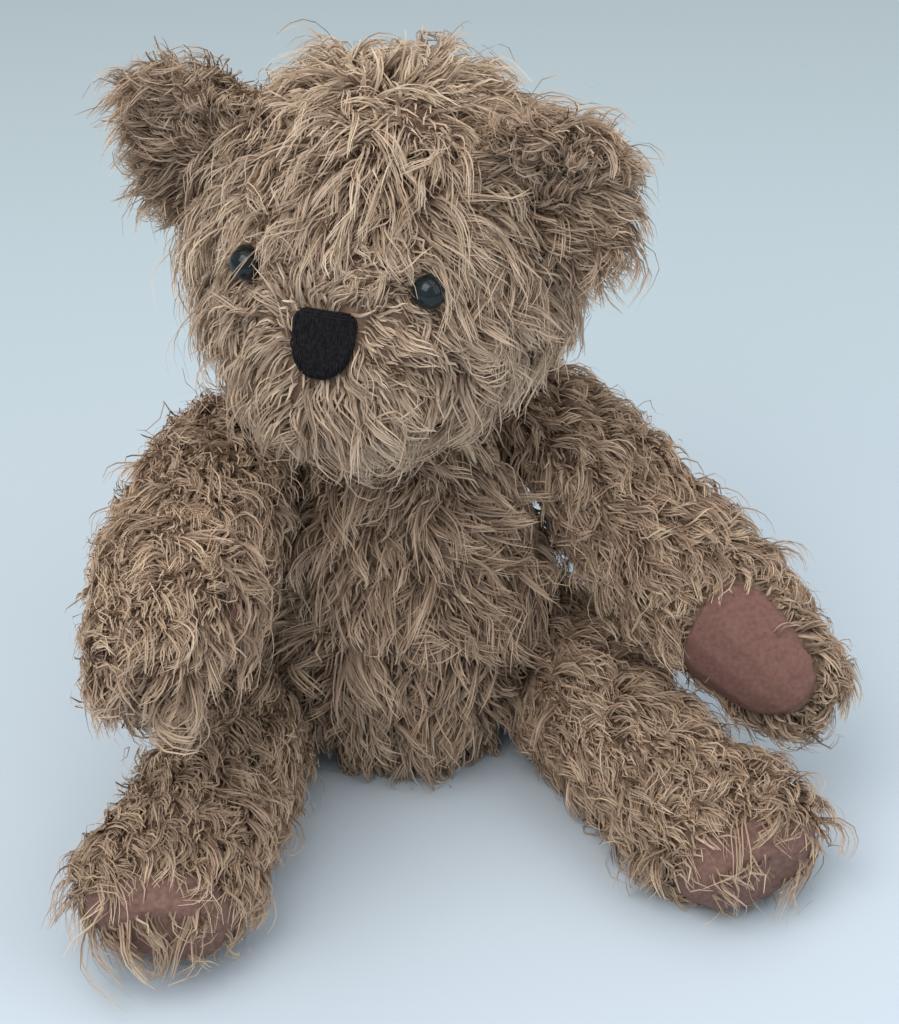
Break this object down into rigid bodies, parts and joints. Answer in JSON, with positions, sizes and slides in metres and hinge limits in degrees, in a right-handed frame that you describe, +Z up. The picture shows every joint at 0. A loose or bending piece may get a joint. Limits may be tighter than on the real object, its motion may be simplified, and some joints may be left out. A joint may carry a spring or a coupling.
{
  "type": "jointed teddy bear",
  "caption": "Seated shaggy plush teddy bear with a turning head, swinging arms and legs on disc joints, cupped ears, glossy eyes, a stitched nose and suede paw and foot pads.",
  "frame": {"origin": "middle of the flat seat underneath the torso", "axes": "-Y is the way the torso faces, +X is the bear's left, +Z is up"},
  "size_m": [0.2557, 0.1887, 0.248],
  "materials": {
    "body_plush": "matte",
    "head_plush": "matte",
    "stuffing": "matte",
    "suede": "matte",
    "nose_thread": "matte",
    "eye": "gloss",
    "joint_plastic": "satin"
  },
  "bodies": {
    "torso": {"torso_front_panel": "body_plush", "torso_back_left_panel": "body_plush", "torso_back_right_panel": "body_plush", "torso_stuffing": "stuffing", "neck_washer": "joint_plastic", "left_shoulder_washer": "joint_plastic", "left_hip_washer": "joint_plastic", "right_shoulder_washer": "joint_plastic", "right_hip_washer": "joint_plastic"},
    "head": {"head_gusset": "head_plush", "head_stuffing": "stuffing", "nose_embroidery": "nose_thread", "neck_disc": "joint_plastic", "neck_lock": "joint_plastic", "head_left_panel": "head_plush", "left_ear_front": "head_plush", "left_ear_back": "head_plush", "left_eye": "eye", "left_eye_washer": "joint_plastic", "head_right_panel": "head_plush", "right_ear_front": "head_plush", "right_ear_back": "head_plush", "right_eye": "eye", "right_eye_washer": "joint_plastic"},
    "left_arm": {"left_arm_outer_panel": "body_plush", "left_arm_inner_panel": "body_plush", "left_paw_pad": "suede", "left_arm_stuffing": "stuffing", "left_shoulder_disc": "joint_plastic", "left_shoulder_lock": "joint_plastic"},
    "right_arm": {"right_arm_outer_panel": "body_plush", "right_arm_inner_panel": "body_plush", "right_paw_pad": "suede", "right_arm_stuffing": "stuffing", "right_shoulder_disc": "joint_plastic", "right_shoulder_lock": "joint_plastic"},
    "left_leg": {"left_leg_outer_panel": "body_plush", "left_leg_inner_panel": "body_plush", "left_foot_pad": "suede", "left_leg_stuffing": "stuffing", "left_hip_disc": "joint_plastic", "left_hip_lock": "joint_plastic"},
    "right_leg": {"right_leg_outer_panel": "body_plush", "right_leg_inner_panel": "body_plush", "right_foot_pad": "suede", "right_leg_stuffing": "stuffing", "right_hip_disc": "joint_plastic", "right_hip_lock": "joint_plastic"}
  },
  "joints": [
    {"name": "neck_turn", "type": "hinge", "parent": "torso", "child": "head", "pos_m": [0, 0, 0.141], "axis": [0, 0, 1], "continuous": true},
    {"name": "left_shoulder", "type": "hinge", "parent": "torso", "child": "left_arm", "pos_m": [0.04, 0, 0.098], "axis": [-0.8645, -0.2156, -0.454], "range_deg": [-92, 58]},
    {"name": "right_shoulder", "type": "hinge", "parent": "torso", "child": "right_arm", "pos_m": [-0.04, 0, 0.098], "axis": [-0.8823, 0.124, 0.454], "range_deg": [-129, 21]},
    {"name": "left_hip", "type": "hinge", "parent": "torso", "child": "left_leg", "pos_m": [0.037, -0.017, 0.0345], "axis": [-0.9131, -0.161, 0.3746], "range_deg": [-89, 5]},
    {"name": "right_hip", "type": "hinge", "parent": "torso", "child": "right_leg", "pos_m": [-0.037, -0.014, 0.035], "axis": [-0.9259, 0.0485, -0.3746], "range_deg": [-92, 15]}
  ]
}
